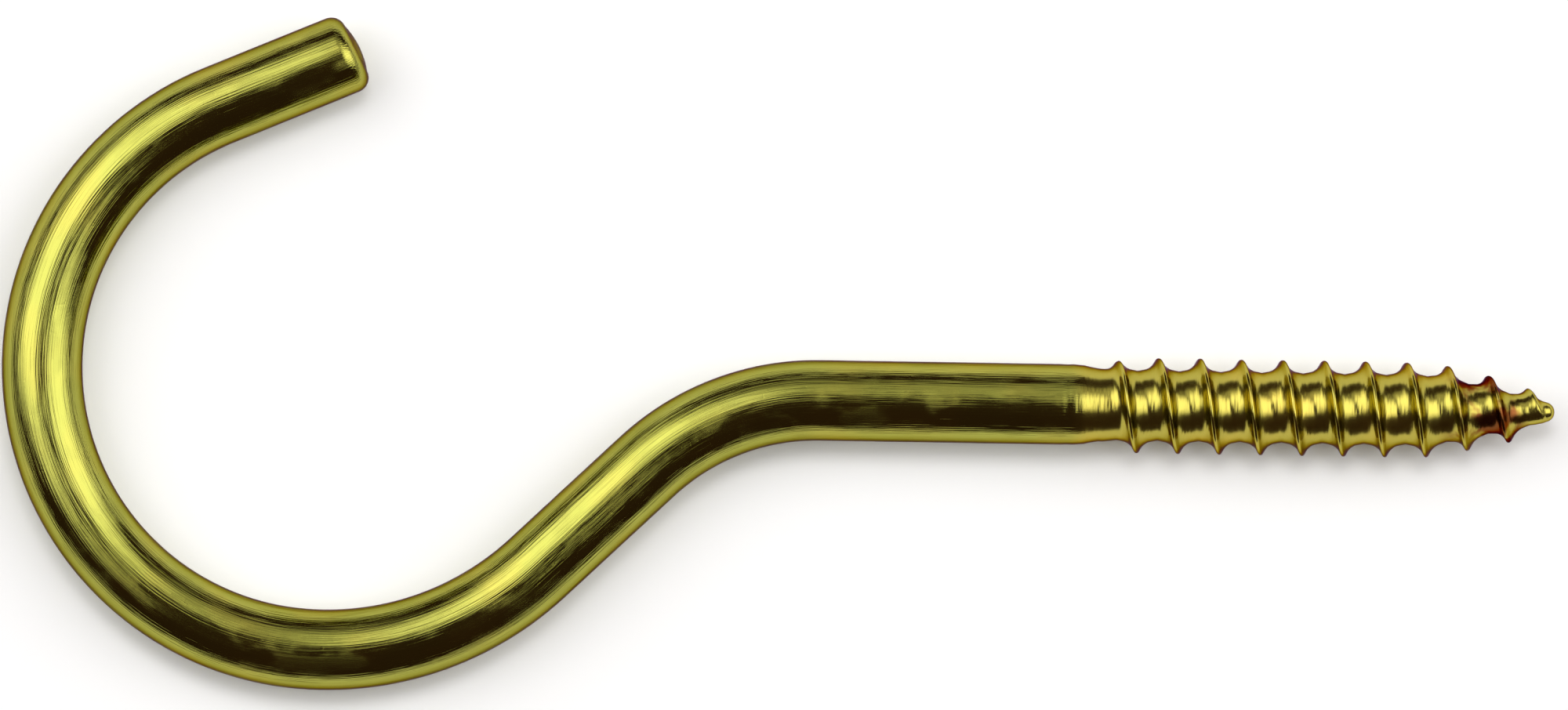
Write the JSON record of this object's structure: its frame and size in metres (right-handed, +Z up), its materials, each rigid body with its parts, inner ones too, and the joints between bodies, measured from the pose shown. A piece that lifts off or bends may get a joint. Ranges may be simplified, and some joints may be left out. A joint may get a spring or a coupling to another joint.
{
  "type": "cup hook",
  "caption": "Unshouldered screw-in cup hook bent from round wire: big open round hook, offset neck, plain shank and a wood thread with a gimlet point.",
  "frame": {"origin": "on the screw's axis where the thread begins, which is the face of the wood once the hook is driven home", "axes": "+X along the screw's axis towards its point; the bent wire lies in the XY plane and opens towards +Y; +Z up, as the hook lies on a table"},
  "size_m": [0.0769, 0.0333, 0.0048],
  "materials": {
    "brass": "bright drawn wire, lightly handled"
  },
  "bodies": {
    "root": {"cup_hook": "brass"}
  },
  "joints": []
}
